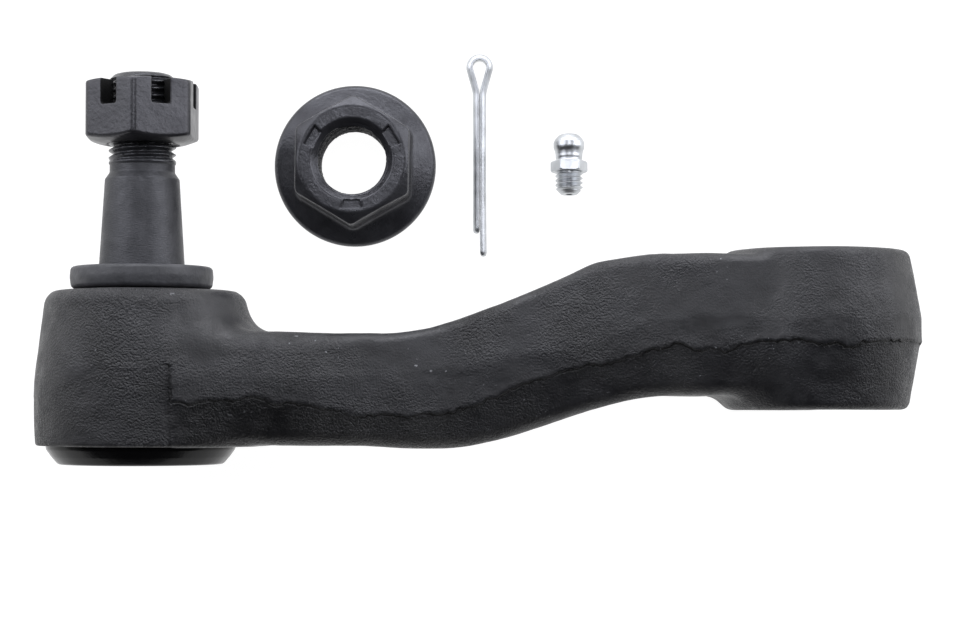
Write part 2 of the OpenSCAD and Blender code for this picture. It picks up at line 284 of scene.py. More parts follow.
def turned(rows, columns=96):
    """A turned solid. Each row is (radius, height), and a radius may be a list, one for each column."""
    angle = np.arange(columns) * 2 * math.pi / columns
    rings = []
    for radius, height in rows:
        spread = np.broadcast_to(np.asarray(radius, float), (columns,))
        level = np.full(columns, float(height))
        rings.append(np.stack([spread * np.cos(angle), spread * np.sin(angle), level], axis=1))
    points = np.concatenate(rings + [[[0, 0, rows[0][1]]], [[0, 0, rows[-1][1]]]])
    foot = len(points) - 2
    last = (len(rows) - 1) * columns
    faces = []
    for column in range(columns):
        beside = (column + 1) % columns
        for row in range(len(rows) - 1):
            at = row * columns
            faces.append((at + column, at + beside, at + columns + beside, at + columns + column))
        faces.append((foot, beside, column))
        faces.append((foot + 1, last + column, last + beside))
    return points, faces


def ring_turned(profile, columns=128):
    """A turned ring from a closed half profile that goes round against the clock."""
    angle = np.arange(columns) * 2 * math.pi / columns
    rings = [
        np.stack([radius * np.cos(angle), radius * np.sin(angle), np.full(columns, height)], axis=1)
        for radius, height in profile
    ]
    faces = []
    count = len(profile)
    for row in range(count):
        above = (row + 1) % count
        for column in range(columns):
            beside = (column + 1) % columns
            faces.append((
                row * columns + column,
                row * columns + beside,
                above * columns + beside,
                above * columns + column,
            ))
    return np.concatenate(rings), faces


def slope_of(field, points, step):
    """The gradient of a field at the points."""
    slopes = []
    for axis in range(3):
        offset = np.zeros(3)
        offset[axis] = step
        slopes.append((field(points + offset) - field(points - offset)) / (2 * step))
    return np.stack(slopes, axis=1)


def surface_of(field, low, high, cell):
    """Quads over the surface where a field is zero, one point per grid cell, moved onto the surface."""
    axes = [np.arange(a, b + cell, cell) for a, b in zip(low, high)]
    shape = tuple(len(axis) for axis in axes)
    grid = np.empty(shape)
    y, z = np.meshgrid(axes[1], axes[2], indexing="ij")
    for index, x in enumerate(axes[0]):
        slab = np.stack([np.full(y.size, x), y.ravel(), z.ravel()], axis=1)
        grid[index] = field(slab).reshape(y.shape)
    inside = grid < 0

    corners = np.array(list(itertools.product((0, 1), repeat=3)))
    cells = tuple(size - 1 for size in shape)
    count = np.zeros(cells, int)
    for i, j, k in corners:
        count += inside[i:i + cells[0], j:j + cells[1], k:k + cells[2]]
    crossed = np.argwhere((count > 0) & (count < 8))
    number = np.full(cells, -1)
    number[tuple(crossed.T)] = np.arange(len(crossed))

    values = [grid[tuple((crossed + corner).T)] for corner in corners]
    total = np.zeros((len(crossed), 3))
    found = np.zeros(len(crossed))
    for a, b in itertools.combinations(range(8), 2):
        if np.abs(corners[a] - corners[b]).sum() != 1:
            continue
        change = (values[a] < 0) != (values[b] < 0)
        share = values[a][change] / (values[a][change] - values[b][change])
        total[change] += corners[a] + share[:, None] * (corners[b] - corners[a])
        found[change] += 1
    points = np.array([axis[0] for axis in axes]) + cell * (crossed + total / found[:, None])

    faces = []
    for axis in range(3):
        one, two = (axis + 1) % 3, (axis + 2) % 3
        ahead = np.roll(inside, -1, axis=axis)
        edges = np.argwhere(inside != ahead)
        keep = edges[:, axis] < shape[axis] - 1
        for across in (one, two):
            keep &= (edges[:, across] > 0) & (edges[:, across] < shape[across] - 1)
        edges = edges[keep]
        back_one = np.eye(3, dtype=int)[one]
        back_two = np.eye(3, dtype=int)[two]
        around = [edges - back_one - back_two, edges - back_two, edges, edges - back_one]
        quads = np.stack([number[tuple(at.T)] for at in around], axis=1)
        outward = inside[tuple(edges.T)]
        quads[~outward] = quads[~outward][:, ::-1]
        faces.append(quads)

    for _ in range(3):
        slopes = slope_of(field, points, cell * 0.05)
        steepness = np.maximum((slopes * slopes).sum(axis=1), 0.05)
        move = -slopes * (field(points) / steepness)[:, None]
        points += np.clip(move, -cell * 0.6, cell * 0.6)
    return points, np.concatenate(faces)


# ---- the forging ----

DRAFT = math.tan(math.radians(9))
SETBACK = 0.35
ARM_TOP_EDGE = 4.0
ARM_BOTTOM_EDGE = 2.7
ARM_MIDDLE_X = -60

# The trimmed band round the forging, its upper and lower edges, and the parting line, as (X, Y).
BAND_TOP = (
    (-163, -11.5), (-158, -10), (-150, -7.2), (-131.3, -7.1), (-130, -9.2), (-87, -9.6), (-66, -6.1),
    (-48, -2.4), (-36, 1.2), (-24, 2.5), (22, 2.5),
)
ALONG_THE_ARM = (
    (-115, -14.1), (-107, -15.2), (-94, -17.4), (-83, -17.6), (-75, -16.6), (-69, -14.6), (-62, -11.6),
    (-52, -8.8), (-45, -7.1), (-36, -4.3), (-31, -3.3), (-25, -4.4),
)
BAND_FOOT = (
    (-163, -17), (-158, -16), (-148, -8.8), (-131.6, -8.2), (-130.6, -14.9), *ALONG_THE_ARM, (-9, -2.3),
    (22, -2.6),
)
PARTING = (
    (-163.5, -13.8), (-158.8, -13.6), (-153.4, -11.5), (-146.5, -8.0), (-143, -7.2), (-138, -6.8),
    (-131.2, -7.1), (-130.9, -14.8), (-126.4, -15.0), *ALONG_THE_ARM, (-20, -3.7), (-9, -2.3), (-3, -2.8),
    (6, -4.4), (6.4, -3.2), (15.6, -2.5), (22, -2.6),
)

# How far the parting strays from that course along X, once for each side of the forging.
RAGGED_X = np.arange(-170, 30, 0.6)
RAGGED = [
    np.convolve(DRAWN.standard_normal(len(RAGGED_X)), np.ones(5) / 5, "same") * 0.75
    + DRAWN.standard_normal(len(RAGGED_X)) * 0.14
    for _ in range(2)
]


def arm_top(x):
    """Height of the arm's upper side."""
    knee = 0.8 * np.exp(-((x + 47) / 5) ** 2)
    return -0.5 - 0.5 * ease(x, -118, -95) + 16.1 * ease(x, -90.5, -32.5) + knee


def arm_bottom(x):
    """Height of the arm's lower side."""
    return -23.7 - 0.5 * ease(x, -95, -82) + 10.7 * ease(x, -77.5, -31)


def arm_half_width(x):
    """Half the arm's width on its trimmed band: wide at the housing, narrow at the waist."""
    return 12.2 + 7 * ease(-x, 76, 127) + 5.8 * ease(x, -56, -16)


def ragged(x, z):
    """How far the parting line strays from its smooth course, differently on each side."""
    return np.where(z > 0, np.interp(x, RAGGED_X, RAGGED[0]), np.interp(x, RAGGED_X, RAGGED[1]))


def band(x):
    """Heights of the trimmed band's upper and lower edges."""
    return np.interp(x, *zip(*BAND_TOP)), np.interp(x, *zip(*BAND_FOOT))


def side_loss(x, y, z, slope_up, slope_down):
    """How far the side stands back from the trimmed band, by its draft and by the step under the parting.

    On the housing the band's edges are soft bends and the step is faint.
    """
    upper, foot = band(x)
    softness = 2.4 - 1.9 * ease(x, -133, -129)
    above = bent(y - upper, softness) * slope_up
    below = bent(foot - y, softness) * slope_down
    under = np.interp(x, *zip(*PARTING)) + ragged(x, z) - y
    clear = 0.18 + 0.82 * ease(x, -132.8, -131.4)
    step = SETBACK * ease(under, -0.2, 0.3)
    ridge = 0.08 * np.exp(-((under + 0.45) / 0.4) ** 2)
    return above + below + (step - ridge) * clear


def from_parting(x, y, z):
    """The distance to the ragged parting line, more than 0 above it and less than 0 under it."""
    line = np.array(PARTING)
    nearest = np.full(len(x), 99.0)
    for start, end in zip(line[:-1], line[1:]):
        along = end - start
        share = ((x - start[0]) * along[0] + (y - start[1]) * along[1]) / (along @ along)
        share = np.clip(share, 0, 1)
        away = np.hypot(x - start[0] - share * along[0], y - start[1] - share * along[1])
        nearest = np.minimum(nearest, away)
    above = y > np.interp(x, *zip(*PARTING))
    return np.where(above, nearest, -nearest) - ragged(x, z)


def forging(points):
    """The distance to the forging: housing, S-shaped arm and boss, before anything is machined."""
    x, y, z = points.T
    height = y - BALL[1]
    from_ball = x - BALL[0]

    housing_side = 22.55 - side_loss(x, y, z, 0.135, 0.065)
    housing_side = housing_side + 0.9 * ease(from_ball, 8, 19) * ease(height, 0, 12)
    housing = rounded_cut(np.hypot(from_ball - 0.4, z) - housing_side, height - HOUSING_TOP, 3.0)
    housing = rounded_cut(housing, -HOUSING_BOTTOM - height, 0.7)

    arm_side = arm_half_width(x) - side_loss(x, y, z, DRAFT, DRAFT * 1.8)
    steep = np.cos(np.arctan(0.35 * ease(x, -85, -70) * (1 - ease(x, -50, -32))))
    top_and_bottom = np.maximum(y - arm_top(x), arm_bottom(x) - y) * steep
    top_edge = ARM_TOP_EDGE - 1.8 * ease(x, -108, -92)
    in_upper_half = ease(y - (arm_top(x) + arm_bottom(x)) / 2, -2, 2)
    edge = ARM_BOTTOM_EDGE + (top_edge - ARM_BOTTOM_EDGE) * in_upper_half
    arm = rounded_cut(np.abs(z) - arm_side, top_and_bottom, edge)
    arm = np.maximum(arm, np.maximum(BALL[0] + 10 - x, x + 6))

    boss_side = 21.55 - side_loss(x, y, z, 0.19, 0.19)
    boss = rounded_cut(np.hypot(x, z) - boss_side, np.abs(y) - BOSS_HALF, 1.8)

    whole = smooth_union(housing, arm, 6.5)
    whole = smooth_union(whole, boss, 1.6 + 3.8 * ease(-y, -4, 8))
    by_housing = x < ARM_MIDDLE_X
    floor = np.where(by_housing, -HOUSING_BOTTOM - height, -BOSS_HALF - y)
    ceiling = np.where(by_housing, height - HOUSING_TOP, y - BOSS_HALF)
    between_ends = np.abs(x - ARM_MIDDLE_X) < 38
    limit = np.where(between_ends, -9.0, np.maximum(floor, ceiling))
    return rounded_cut(whole, limit, 0.6)


def roughen(points, field):
    """Moves points along the surface's normal by the forging's scale, dents and hammer marks."""
    x, y, z = points.T
    slopes = slope_of(field, points, 0.05)
    normal = slopes / np.linalg.norm(slopes, axis=1)[:, None]
    upper, foot = band(x)
    trimmed = ease(y, foot - 0.2, foot + 0.4) * (1 - ease(y, upper - 0.6, upper + 0.8))
    side_facing = 1 - ease(np.abs(normal[:, 1]), 0.9, 0.99)
    broad = 0.17 * layered_noise(points, 13, 3, 2)
    scale = 0.05 * layered_noise(points, 3.8, 11, 2) * (1 - 0.6 * trimmed)
    fine = 0.022 * lattice_noise(points, 1.4, 29) * (1 - 0.5 * trimmed)
    near_end = np.hypot(x, z) < 23
    calm = np.where(near_end, 0.35 + 0.65 * side_facing, 1.0)
    height = y - BALL[1]
    on_end = ((np.abs(height - HOUSING_TOP) < 0.4) | (np.abs(height + HOUSING_BOTTOM) < 0.4)) & (x < -115)
    calm = np.where(on_end, 0.25, calm)
    return points + normal * ((broad + scale + fine) * calm)[:, None]


def bore_cutter():
    """The boss's bore: plain at the bottom, serrated above, and chamfered at both ends."""
    columns = SERRATIONS * 8
    step = np.arange(columns) % 8
    depth = np.array([0, 0, 0.5, 1, 1, 1, 0.5, 0])[step]
    serrated = BORE_R + SERRATION_DEPTH * depth
    plain = np.full(columns, BORE_R)
    end = BOSS_HALF
    wide = BORE_R + 1.5
    foot = -end + PLAIN_BORE
    rows = [
        (wide + 1, -end - 1), (wide, -end), (plain, -end + wide - BORE_R), (plain, foot),
        (serrated, foot + 0.3), (serrated, end - 0.7), (np.maximum(serrated, wide), end), (wide + 1, end + 1),
    ]
    return object_from("bore_cutter", *turned(rows, columns), AT_BORE)


def socket_cutter():
    """The housing's socket, open at the bottom, and the opening that the stud swings in."""
    rows = rounded([
        (SOCKET_R, -LIP_BOTTOM - 2, 0), (SOCKET_R, 11.8, 0), (10.9, 11.8, 0), (12.6, 18.0, 0),
        (14.4, 18.0, 0), (14.4, 20, 0),
    ])
    return object_from("socket_cutter", *turned(rows, 128), AT_BALL)


def make_forging(material):
    """The arm with its housing and boss, roughened and then machined."""
    low = np.array(box_mm("arm_forging")[0]) - 1.3
    high = np.array(box_mm("arm_forging")[1]) + 1.3
    points, quads = surface_of(forging, low, high, 0.62)
    points = roughen(points, forging)
    item = object_from("arm_body", points, quads.tolist(), Matrix.Identity(4), 60)
    cut(item, bore_cutter(), 50)
    cut(item, socket_cutter(), 50)
    mark_sides(item.data)
    return piece(item, "arm", ["arm_forging"], material)


def mark_sides(mesh):
    """Stores what forging_coat() reads at each point.

    These are how trimmed the side is, how far the parting is and how clearly it shows, and whether the point
    is on the arm's lower flank, where the coat paints shade.
    """
    flat = np.empty(len(mesh.vertices) * 3)
    mesh.vertices.foreach_get("co", flat)
    x, y, z = flat.reshape(-1, 3).T / MM
    upper, foot = band(x)
    foot = np.where(x < -127, foot, np.interp(x, *zip(*PARTING)))
    trimmed = ease(y, foot - 0.3, foot + 0.5) * (1 - ease(y, upper - 1.0, upper + 0.6))
    on_step = ease(x, -132.8, -131.4) * (0.45 + 0.55 * ease(x, -130, -128))
    clear = on_step + 0.2 * ease(x, -146, -139) * (1 - ease(x, -132.8, -131.4))
    parting = from_parting(x, y, z)
    # The lower flank under the parting, which the coat paints darker as painted shade.
    lower_flank_shade = (1 - ease(parting, -0.6, 0)) * ease(x, -133, -127) * (1 - ease(x, -90, -50))
    stored = {"trimmed": trimmed, "from_parting": parting, "parting_clear": clear, "lower_flank_shade": lower_flank_shade}
    for name, values in stored.items():
        layer = mesh.attributes.new(name, "FLOAT", "POINT")
        layer.data.foreach_set("value", values.astype(np.float32))


def make_lip(material):
    """The housing's thin lower rim, rolled in over the cover plate."""
    outline = rounded([
        (19.5, -HOUSING_BOTTOM + 0.4, 0), (19.45, -HOUSING_BOTTOM - 0.5, 1.0), (18.3, -LIP_BOTTOM + 1.5, 2.5),
        (16.9, -LIP_BOTTOM - 0.12, 1.2), (15.1, -LIP_BOTTOM, 0.35), (14.7, -LIP_BOTTOM + 0.85, 0.1),
        (SOCKET_R - 0.3, -LIP_BOTTOM + 0.9, 0), (SOCKET_R - 0.3, -HOUSING_BOTTOM + 0.4, 0),
    ])
    outline.reverse()
    item = object_from("housing_lip", *ring_turned(outline, 160), AT_BALL, 40)
    return piece(item, "arm", ["arm_forging"], material)


def make_cover(material):
    """The stamped cover plate, drawn down at its tapped centre."""
    under = -LIP_BOTTOM + 0.8
    tap = 2.5
    rows = rounded([
        (tap + 0.45, under - 0.45, 0.1), (4.6, under - 0.5, 0.3), (6.0, under + 0.05, 0.8),
        (9.5, under + 0.02, 1), (10.8, under + 0.35, 1), (SOCKET_R - 0.1, under + 0.35, 0.3),
        (SOCKET_R - 0.1, under + 2, 0.3), (6.2, under + 2, 0.4), (5.2, under + 3.3, 0.4),
        (tap + 0.3, under + 3.3, 0.1),
    ])
    outline = [(point.x, point.y) for point in rows]
    top = under + 3.1
    rise = 0.125
    count = int((top - under + 0.3) / rise)
    outline += [(tap + 0.28 * (1 - abs((i % 8) / 4 - 1)), top - rise * i) for i in range(count)]
    item = object_from("cover_plate_pressed", *ring_turned(outline, 96), AT_BALL, 40)
    return piece(item, "arm", ["cover_plate"], material)


# ---- the ball joint ----


def make_seal(material):
    """The dust seal, hollow underneath, with its foot on the housing and its top round the stud."""
    outline = rounded([
        (12.4, SEAL_BOTTOM - 0.3, 0.3), (14.5, SEAL_BOTTOM - 0.25, 1.1),
        (14.8, (SEAL_BOTTOM + SEAL_TOP) / 2, 4.0), (14.6, SEAL_TOP + 0.05, 0.9),
        (11.5, SEAL_TOP + 0.05, 1.0), (9.0, SEAL_TOP + 0.05, 0.15), (9.08, SEAL_TOP - 0.45, 0.1),
        (9.8, SEAL_TOP - 1.1, 0.3), (11.3, SEAL_BOTTOM + 1.9, 1.0), (12.35, SEAL_BOTTOM + 0.9, 0.5),
    ], 6)
    item = object_from("dust_seal_ring", *ring_turned(outline, 160), AT_BALL, 40)
    item.data.materials.append(material)
    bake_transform(item)
    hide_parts("dust_seal")
    return item


def stud_rows(columns):
    """Rows of the ball stud: round head, neck, taper, neck below the thread, thread and domed end."""
    head_r = 12.6
    head_side_r = 11.8
    head = [(head_r * math.cos(a), head_r * math.sin(a)) for a in np.radians(np.linspace(-60, -4, 15))]
    head = [(0.05, head[0][1])] + [(min(r, head_side_r), v) for r, v in head]
    body = rounded([
        (head_side_r, -0.3, 0.2), (10.85, -0.1, 0.2), (8.2, 8.6, 2), (8.2, 15.4, 2),
        (TAPER_BIG_R + 0.25, 18.1, 1), (TAPER_BIG_R, SEAL_TOP, 0),
        (TAPER_BIG_R - (TAPER_TOP - SEAL_TOP) / 16, TAPER_TOP, 0.7),
        (6.75, 42.0, 0.8), (6.75, 43.6, 0.3), (6.98, 44.0, 0),
    ])
    rows = head + [(point.x, point.y) for point in body[1:]]
    angle = np.arange(columns) * 2 * math.pi / columns
    depth = 0.62 * THREAD_PITCH
    for level in np.arange(44.05, 62.2, 0.1):
        cut_in = ease(level, 43.9, 45.6) * depth * groove(np.cos(angle), np.sin(angle), level, THREAD_PITCH)
        chamfer = THREAD_R - np.clip(level - 61.2, 0, None) * 0.95
        rows.append((np.minimum(THREAD_R - 0.02 - cut_in, chamfer), level))
    dome = [(5.75, 62.4), (5.0, 62.62), (3.4, 62.8), (1.7, 62.87), (0.05, STUD_END)]
    return rows + dome


def make_stud(material):
    """The ball stud, drilled across for the cotter pin."""
    columns = 144
    item = object_from("ball_stud_threaded", *turned(stud_rows(columns), columns), AT_BALL, 50)
    level = CASTLE_BOTTOM + CASTLE_H - SLOT_DEPTH / 2
    rows = rounded([(CROSS_HOLE_R, -15, 0), (CROSS_HOLE_R, 15, 0)])
    across = Matrix.Translation((0, 0, level)) @ Matrix.Rotation(math.radians(CROSS_HOLE_TURN), 4, "Z")
    across = AT_BALL @ across @ Matrix.Rotation(math.radians(90), 4, "X")
    cut(item, object_from("cross_hole_cutter", *turned(rows, 40), across), 50)
    return piece(item, "stud", ["ball_stud"], material)


# ---- the fasteners ----


def castle_nut_shape(points):
    """The distance to the castle nut, standing on its chamfered foot."""
    x, y, z = points.T
    r = np.hypot(x, y)
    body = hexagon(x, y, CASTLE_AF, CASTLE_TURN, 0.9)
    body = rounded_cut(body, np.maximum(-z, z - CASTLE_H), 0.3)
    under = (r - 8.5 - z / 0.38) * math.sin(math.atan(0.38))
    body = rounded_cut(body, under, 0.5)
    over = (r - 11.45 - (CASTLE_H - z) / 0.5) * math.cos(math.atan(2.0))
    body = rounded_cut(body, over, 0.4)
    bore = THREAD_R + 0.06 + 0.62 * groove(x, y, z + CASTLE_BOTTOM, THREAD_PITCH)
    bore = np.maximum(bore, THREAD_R + 0.8 - z)
    body = rounded_cut(body, (bore - r) * 0.8, 0.06)
    for across in from_slots(x, y):
        slot = rounded_cut(across, CASTLE_H - SLOT_DEPTH - z, 0.55)
        body = rounded_cut(body, -slot, 0.22)
    return body


def from_slots(x, y):
    """How far a point is outside each of the castle nut's three slots, less than 0 within one."""
    angles = np.radians([CASTLE_TURN + 60 * step for step in range(3)])
    return [np.abs(-x * math.sin(angle) + y * math.cos(angle)) - SLOT_W / 2 for angle in angles]


def slot_shade_mask(points):
    """1 on the walls and floors of the castle nut's slots, where the coat paints shade, and 0 elsewhere."""
    x, y, z = points.T
    nearest = np.min(from_slots(x, y), axis=0)
    return ((nearest < 0.08) & (z > CASTLE_H - SLOT_DEPTH - 0.08)).astype(float)


def make_castle_nut(material):
    """The castle nut on the stud's thread."""
    reach = CASTLE_AF / math.sqrt(3) + 0.5
    low, high = (-reach, -reach, -0.5), (reach, reach, CASTLE_H + 0.5)
    points, quads = surface_of(castle_nut_shape, low, high, 0.2)
    place = AT_BALL @ Matrix.Translation((0, 0, CASTLE_BOTTOM))
    item = object_from("castle_nut_slotted", points, quads.tolist(), place, 60)
    # The slot mask, stored for the painted shade in the slots.
    layer = item.data.attributes.new("slot_painted_shade", "FLOAT", "POINT")
    layer.data.foreach_set("value", slot_shade_mask(points).astype(np.float32))
    return piece(item, "castle_nut", ["castle_nut"], material)


def flange_nut_shape(points):
    """The distance to the flange nut, standing on its flange, staked at three places on top."""
    x, y, z = points.T
    r = np.hypot(x, y)
    flange = rounded_cut(r - FLANGE_R, -z, 0.35)
    skirt = (z - 1.75 - (FLANGE_R - r) * 0.47) * math.cos(math.atan(0.47))
    flange = rounded_cut(flange, skirt, 0.9)
    body = hexagon(x, y, FLANGE_AF, -1, 0.7)
    body = rounded_cut(body, np.maximum(-z, z - FLANGE_NUT_H), 0.25)
    over = (r - 11.35 - (FLANGE_NUT_H - z) * 1.5) * math.cos(math.atan(1.5))
    body = rounded_cut(body, over, 0.2)
    body = rounded_cut(smooth_union(body, flange, 1.3), -z, 0.35)
    for angle in np.radians((30, 150, 270)):
        along = x * math.cos(angle) + y * math.sin(angle)
        across = np.abs(-x * math.sin(angle) + y * math.cos(angle))
        beside = across - 2.0 - (along - 9.3) * 0.3
        stake = np.maximum(beside, np.abs(along - STAKE_R) - STAKE_LEN / 2)
        stake = rounded_cut(stake, FLANGE_NUT_H - STAKE_DEPTH - z, 0.15)
        body = rounded_cut(body, -stake, 0.15)
    bore = FLANGE_BORE_R + 0.75 * groove(x, y, z, THREAD_PITCH)
    bore = np.maximum(bore, np.maximum(8.6 - z, 8.75 - (FLANGE_NUT_H - z) * 1.0))
    return rounded_cut(body, (bore - r) * 0.8, 0.12)


def make_flange_nut(material):
    """The loose flange nut, standing on the table."""
    reach = FLANGE_R + 0.6
    low, high = (-reach, -reach, -0.6), (reach, reach, FLANGE_NUT_H + 0.6)
    points, quads = surface_of(flange_nut_shape, low, high, 0.24)
    item = object_from("flange_nut_staked", points, quads.tolist(), AT_FLANGE_NUT, 60)
    return piece(item, "flange_nut", ["flange_lock_nut"], material)


def fitting_shape(points):
    """The distance to the grease fitting, standing on the end of its thread."""
    x, y, z = points.T
    r = np.hypot(x, y)
    thread = r - 2.95 + 0.55 * groove(x, y, z, 1.0)
    thread = rounded_cut(thread, np.maximum(-z, z - 5.2), 0.1)
    thread = rounded_cut(thread, (r - 1.75 - z) * 0.707, 0.1)
    relief = rounded_cut(r - 2.55, np.abs(z - 4.8) - 0.4, 0.05)
    thread = np.minimum(np.maximum(thread, z - 4.45), relief)
    grip = hexagon(x, y, FITTING_AF, 30, 0.15)
    grip = rounded_cut(grip, np.abs(z - 6.0) - 1.15, 0.12)
    grip = rounded_cut(grip, (r - 3.75 - (1.15 - np.abs(z - 6.0)) * 1.2) * 0.64, 0.1)
    neck = rounded_cut(r - 2.8, np.abs(z - 8.0) - 1.6, 0.1)
    heights = (8.0, 8.7, 9.3, 9.9, 10.3, 11.3, 11.9, 12.6, FITTING_LEN)
    head_side = np.interp(z, heights, (2.7, 2.75, 2.95, 3.25, 3.34, 3.34, 3.08, 2.5, 1.9))
    head = rounded_cut((r - head_side) * 0.85, np.maximum(8.0 - z, z - FITTING_LEN), 0.22)
    body = smooth_union(smooth_union(head, neck, 0.5), grip, 0.5)
    body = np.minimum(body, thread)
    channel = np.interp(z, (FITTING_LEN - 1.45, FITTING_LEN), (1.4, 0.95))
    hole = np.maximum(r - channel, 1.2 - z)
    hole = np.minimum(hole, np.maximum(r - 0.8, z - 3))
    return rounded_cut(body, -hole, 0.08)


def make_fitting(material):
    """The loose grease fitting, lying on its hexagon and tilted a little."""
    low, high = (-4.4, -4.4, -0.4), (4.4, 4.4, FITTING_LEN + 0.4)
    points, quads = surface_of(fitting_shape, low, high, 0.085)
    item = object_from("grease_fitting_threaded", points, quads.tolist(), AT_FITTING, 60)
    return piece(item, "fitting", ["grease_fitting_body"], material)


def pin_route():
    """The wire's middle line in its own plane, from the long leg's tip round the eye to the short one's."""
    leg = PIN_D / 4 + 0.03
    eye = (pin_high[0] - pin_low[0] - PIN_D / 2) / 2
    middle = -eye - PIN_D / 4
    long_end = pin_low[1] - pin_high[1]
    short_end = long_end + 5
    round_the_eye = [
        (eye * math.cos(a), middle + eye * math.sin(a)) for a in np.radians(np.linspace(-22, 202, 40))
    ]
    down = [(leg, level) for level in (-8.8, -10, -13, -20, -30)]
    long_leg = [(leg + 0.12, long_end), (leg + 0.05, long_end + 5)] + down[::-1]
    short_leg = [(-x, level) for x, level in down] + [(-leg, short_end)]
    route = np.array(long_leg + [(leg + 0.15, -7.9)] + round_the_eye + [(-leg - 0.15, -7.9)] + short_leg)
    for _ in range(3):
        near, far = route[:-1] * 0.75 + route[1:] * 0.25, route[:-1] * 0.25 + route[1:] * 0.75
        inner = np.stack([near, far], axis=1).reshape(-1, 2)
        route = np.concatenate([route[:1], inner, route[-1:]])
    return route


def make_pin(material):
    """The cotter pin: half-round wire with its flat sides together and its tips rounded."""
    route = pin_route()
    ahead = np.gradient(route, axis=0)
    ahead /= np.linalg.norm(ahead, axis=1)[:, None]
    outward = np.stack([ahead[:, 1], -ahead[:, 0]], axis=1)
    turn = np.radians(np.linspace(-90, 90, 15))
    section = [(PIN_D / 2 * math.cos(a) - PIN_D / 4, PIN_D / 2 * math.sin(a)) for a in turn]
    flat = -PIN_D / 4
    section = section[1:-1]
    section = [(flat + 0.02, -PIN_D / 2 * 0.93)] + section + [(flat + 0.02, PIN_D / 2 * 0.93)]
    section += [(flat - 0.02, PIN_D / 2 * 0.82), (flat - 0.02, 0), (flat - 0.02, -PIN_D / 2 * 0.82)]
    section = np.array(section)
    length = np.concatenate([[0], np.linalg.norm(np.diff(route, axis=0), axis=1).cumsum()])
    tip = 0.7
    near_tip = [(share, math.sqrt(1 - (1 - share) ** 2) * 0.9 + 0.1) for share in (0, 0.12, 0.4)]
    inside = [i for i in range(len(route)) if tip < length[i] < length[-1] - tip]
    stations = [(route[0] + ahead[0] * tip * share, 0, size) for share, size in near_tip]
    stations += [(route[i], i, 1.0) for i in inside]
    last = len(route) - 1
    stations += [(route[last] - ahead[last] * tip * share, last, size) for share, size in near_tip[::-1]]
    rings = []
    for centre, index, size in stations:
        across = centre + outward[index] * (section[:, :1] * size)
        rings.append(np.column_stack([across, section[:, 1] * size]))
    count = len(section)
    faces = []
    for row in range(len(rings) - 1):
        for i in range(count):
            j = (i + 1) % count
            at = row * count
            faces.append((at + i, at + j, at + count + j, at + count + i))
    faces.append(tuple(range(count))[::-1])
    faces.append(tuple((len(rings) - 1) * count + i for i in range(count)))
    item = object_from("cotter_pin_wire", np.concatenate(rings), faces, AT_PIN, 50)
    return piece(item, "cotter_pin", ["cotter_pin"], material)


# ---- materials ----


class Shader:
    """A node material with a few shorthand calls. Textures run in the object's own metres."""

    def __init__(self, name, colour, roughness, metallic=0.0, **sockets):
        self.material = bpy.data.materials.new(name)
        self.material.use_nodes = True
        self.tree = self.material.node_tree
        self.base = self.tree.nodes["Principled BSDF"]
        self.base.inputs["Base Color"].default_value = (*colour, 1)
        self.base.inputs["Roughness"].default_value = roughness
        self.base.inputs["Metallic"].default_value = metallic
        for socket, value in sockets.items():
            self.base.inputs[socket.replace("_", " ")].default_value = value
        self.place = self.tree.nodes.new("ShaderNodeTexCoord").outputs["Object"]
        self.height = None

    def node(self, kind, inputs=(), **settings):
        """A node with its settings, and with its inputs linked or set."""
        made = self.tree.nodes.new(kind)
        for key, value in settings.items():
            setattr(made, key, value)
        for key, value in dict(inputs).items():
            if isinstance(value, bpy.types.NodeSocket):
                self.tree.links.new(value, made.inputs[key])
            else:
                made.inputs[key].default_value = value
        return made

    def stretched(self, scale):
        """Coordinates scaled differently along each axis."""
        return self.node("ShaderNodeMapping", {"Vector": self.place, "Scale": scale}).outputs["Vector"]

    def noise(self, size, detail=3, stretch=None, distortion=0.0):
        """Noise whose lumps are about this many metres across."""
        vector = self.stretched(stretch) if stretch else self.place
        inputs = {"Vector": vector, "Scale": 1 / size, "Detail": detail, "Distortion": distortion}
        return self.node("ShaderNodeTexNoise", inputs).outputs["Fac"]

    def ramp(self, value, *stops):
        """Maps a value through stops of (position, grey or colour)."""
        made = self.node("ShaderNodeValToRGB", {"Fac": value})
        elements = made.color_ramp.elements
        while len(elements) < len(stops):
            elements.new(0.5)
        for element, (position, shade_of) in zip(elements, stops):
            element.position = position
            grey = (shade_of,) * 3 if isinstance(shade_of, (int, float)) else shade_of
            element.color = (*grey, 1)
        return made.outputs["Color"]

    def maths(self, operation, a, b):
        """One arithmetic step on two values."""
        return self.node("ShaderNodeMath", {0: a, 1: b}, operation=operation).outputs["Value"]

    def mix(self, factor, a, b):
        """Colour a where the factor is 0 and colour b where it is 1."""
        made = self.node("ShaderNodeMix", {"Factor": factor}, data_type="RGBA")
        for socket, value in ((made.inputs[6], a), (made.inputs[7], b)):
            if isinstance(value, bpy.types.NodeSocket):
                self.tree.links.new(value, socket)
            else:
                socket.default_value = (*value, 1)
        return made.outputs[2]

    def attribute(self, name):
        """A value that the mesh stores at each point."""
        return self.node("ShaderNodeAttribute", attribute_name=name).outputs["Fac"]

    def linked(self, name):
        """What is linked to one of the surface's inputs so far."""
        return self.base.inputs[name].links[0].from_socket

    def colour(self, socket):
        """Links the surface's colour."""
        self.tree.links.new(socket, self.base.inputs["Base Color"])

    def rough(self, socket):
        """Links the surface's roughness."""
        self.tree.links.new(socket, self.base.inputs["Roughness"])

    def bump(self, height, depth, strength=1.0):
        """Adds a bump this many metres deep on top of the ones before."""
        inputs = {"Height": height, "Distance": depth, "Strength": strength}
        if self.height:
            inputs["Normal"] = self.height
        self.height = self.node("ShaderNodeBump", inputs).outputs["Normal"]
        self.tree.links.new(self.height, self.base.inputs["Normal"])


